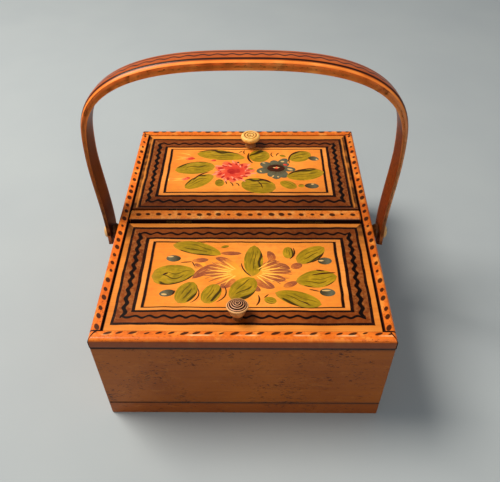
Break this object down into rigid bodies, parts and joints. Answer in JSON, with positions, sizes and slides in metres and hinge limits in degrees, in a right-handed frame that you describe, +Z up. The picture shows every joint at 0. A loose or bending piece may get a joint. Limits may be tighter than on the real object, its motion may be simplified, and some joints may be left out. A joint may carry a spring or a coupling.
{
  "type": "sewing box with trays",
  "caption": "Rectangular wooden sewing box with two painted flap lids that meet at a fixed centre bar, a bentwood swing handle, turned knobs and lift-out trays.",
  "frame": {"origin": "centre of the box's underside, on the surface it stands on", "axes": "+Z up; +X to the right across the box and along the lid hinges and handle pivots; the front end, with the turned wooden knob, faces -Y"},
  "size_m": [0.236, 0.243, 0.2183],
  "materials": {
    "varnished_wood": "old glossy orange varnish with dark painted dots",
    "painted_lid": "varnished, painted with flowers inside dark lines and a wavy line",
    "handle_wood": "bent strap, varnished, dark lines on its outer face",
    "inside_wood": "bare planed wood",
    "turned_wood": "turned, dirt in the grooves",
    "bone": null,
    "hinge_brass": "aged brass"
  },
  "bodies": {
    "case": {"base_board": "varnished_wood", "front_wall": "varnished_wood", "rear_wall": "varnished_wood", "left_wall": "varnished_wood", "right_wall": "varnished_wood", "centre_partition": "inside_wood", "left_top_rail": "varnished_wood", "right_top_rail": "varnished_wood", "centre_bar": "varnished_wood", "front_left_tray_bearer": "inside_wood", "front_right_tray_bearer": "inside_wood", "rear_left_tray_bearer": "inside_wood", "rear_right_tray_bearer": "inside_wood", "left_pivot_button": "bone", "right_pivot_button": "bone", "left_pivot_collar": "bone", "right_pivot_collar": "bone", "front_left_fixed_leaf": "hinge_brass", "front_left_hinge_pin": "hinge_brass", "front_right_fixed_leaf": "hinge_brass", "front_right_hinge_pin": "hinge_brass", "rear_left_fixed_leaf": "hinge_brass", "rear_left_hinge_pin": "hinge_brass", "rear_right_fixed_leaf": "hinge_brass", "rear_right_hinge_pin": "hinge_brass"},
    "front_lid": {"front_lid_board": "painted_lid", "front_lid_rail": "varnished_wood", "front_knob": "turned_wood", "front_left_lid_leaf": "hinge_brass", "front_right_lid_leaf": "hinge_brass"},
    "rear_lid": {"rear_lid_board": "painted_lid", "rear_lid_rail": "varnished_wood", "rear_knob": "bone", "rear_left_lid_leaf": "hinge_brass", "rear_right_lid_leaf": "hinge_brass"},
    "handle": {"handle_bow": "handle_wood"},
    "front_tray": {"front_tray_floor": "inside_wood", "front_tray_near_side": "inside_wood", "front_tray_far_side": "inside_wood", "front_tray_left_side": "inside_wood", "front_tray_right_side": "inside_wood", "front_tray_grip_divider": "inside_wood", "front_tray_left_divider": "inside_wood", "front_tray_right_divider": "inside_wood"},
    "rear_tray": {"rear_tray_floor": "inside_wood", "rear_tray_near_side": "inside_wood", "rear_tray_far_side": "inside_wood", "rear_tray_left_side": "inside_wood", "rear_tray_right_side": "inside_wood", "rear_tray_grip_divider": "inside_wood", "rear_tray_left_divider": "inside_wood", "rear_tray_right_divider": "inside_wood"}
  },
  "joints": [
    {"name": "handle_swing", "type": "hinge", "parent": "case", "child": "handle", "pos_m": [0, 0, 0.0755], "axis": [1, 0, 0], "range_deg": [-64.5, 84.5]},
    {"name": "front_lid_swing", "type": "hinge", "parent": "case", "child": "front_lid", "pos_m": [0, -0.00725, 0.0912], "axis": [1, 0, 0], "range_deg": [-95, 0]},
    {"name": "rear_lid_swing", "type": "hinge", "parent": "case", "child": "rear_lid", "pos_m": [0, 0.00725, 0.0912], "axis": [1, 0, 0], "range_deg": [0, 74.5]},
    {"name": "front_tray_lift", "type": "slide", "parent": "case", "child": "front_tray", "axis": [0, 0, 1], "range_m": [0, 0.004]},
    {"name": "rear_tray_lift", "type": "slide", "parent": "case", "child": "rear_tray", "axis": [0, 0, 1], "range_m": [0, 0.004]}
  ]
}
